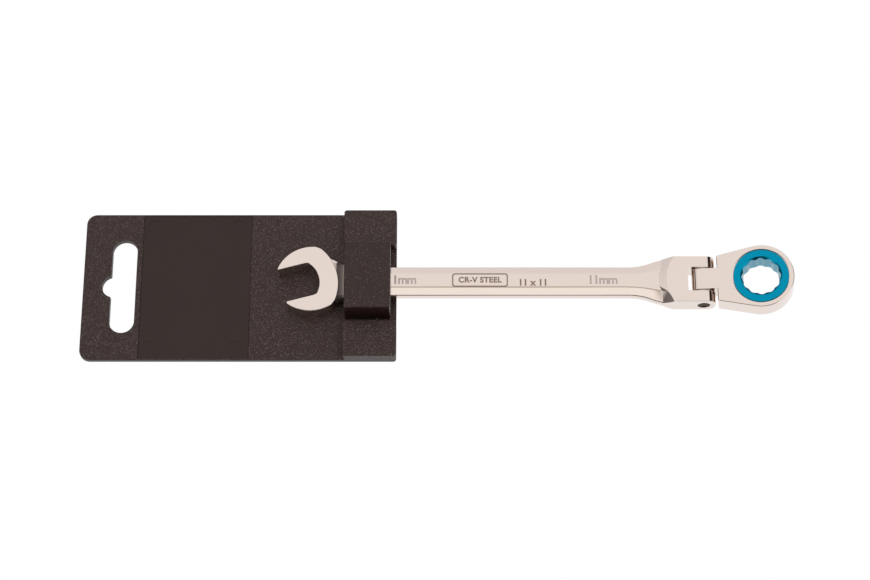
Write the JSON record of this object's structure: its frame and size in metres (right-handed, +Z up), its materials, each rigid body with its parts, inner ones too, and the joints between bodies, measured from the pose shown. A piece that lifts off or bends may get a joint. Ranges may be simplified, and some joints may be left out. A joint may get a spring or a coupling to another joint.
{
  "type": "ratchet wrench",
  "caption": "Flex-head combination wrench with an open jaw and a hinged twelve-point ratchet ring, locked by a cap on a flat plastic display hanger.",
  "frame": {"origin": "bottom centre of the bounding box, on the hanger's back face", "axes": "+X along the wrench from its open jaw towards its ratchet ring, +Z up out of the hanger's face"},
  "size_m": [0.2278, 0.05, 0.0132],
  "materials": {
    "hanger_plastic": "spark-eroded matt black plastic",
    "cap_plastic": "smooth dark plastic",
    "polished_chrome": "mirror-polished chrome plate",
    "blue_gear": "glossy blue coating on steel",
    "black_steel": "black oxide",
    "bare_steel": "plain steel"
  },
  "bodies": {
    "hanger": {"hanger": "hanger_plastic"},
    "handle": {"handle": "polished_chrome", "hinge_screw": "black_steel", "washer_near": "bare_steel", "washer_far": "bare_steel"},
    "cap": {"lock_cap": "cap_plastic"},
    "head": {"ratchet_head": "polished_chrome", "pawl_spring": "bare_steel"},
    "gear": {"ratchet_gear": "blue_gear", "retaining_ring": "bare_steel"},
    "pawl": {"pawl": "bare_steel"}
  },
  "joints": [
    {"name": "lift_out", "type": "slide", "parent": "hanger", "child": "handle", "axis": [0, 0, 1], "range_m": [0, 0.02]},
    {"name": "cap_lift", "type": "slide", "parent": "handle", "child": "cap", "axis": [0, 0, 1], "range_m": [0, 0.025]},
    {"name": "head_flex", "type": "hinge", "parent": "handle", "child": "head", "pos_m": [0.0847, 0, 0.0053], "axis": [0, -1, 0], "range_deg": [-98, 81]},
    {"name": "gear_spin", "type": "hinge", "parent": "head", "child": "gear", "pos_m": [0.10301, 0, 0.00797], "axis": [-0.1444, 0, 0.9895], "continuous": true},
    {"name": "pawl_slide", "type": "slide", "parent": "head", "child": "pawl", "axis": [-0.9895, 0, -0.1444], "range_m": [0, 0.0004], "stiffness_N_per_m": 300, "springref_m": -0.0015, "deforming": ["pawl_spring"]}
  ]
}
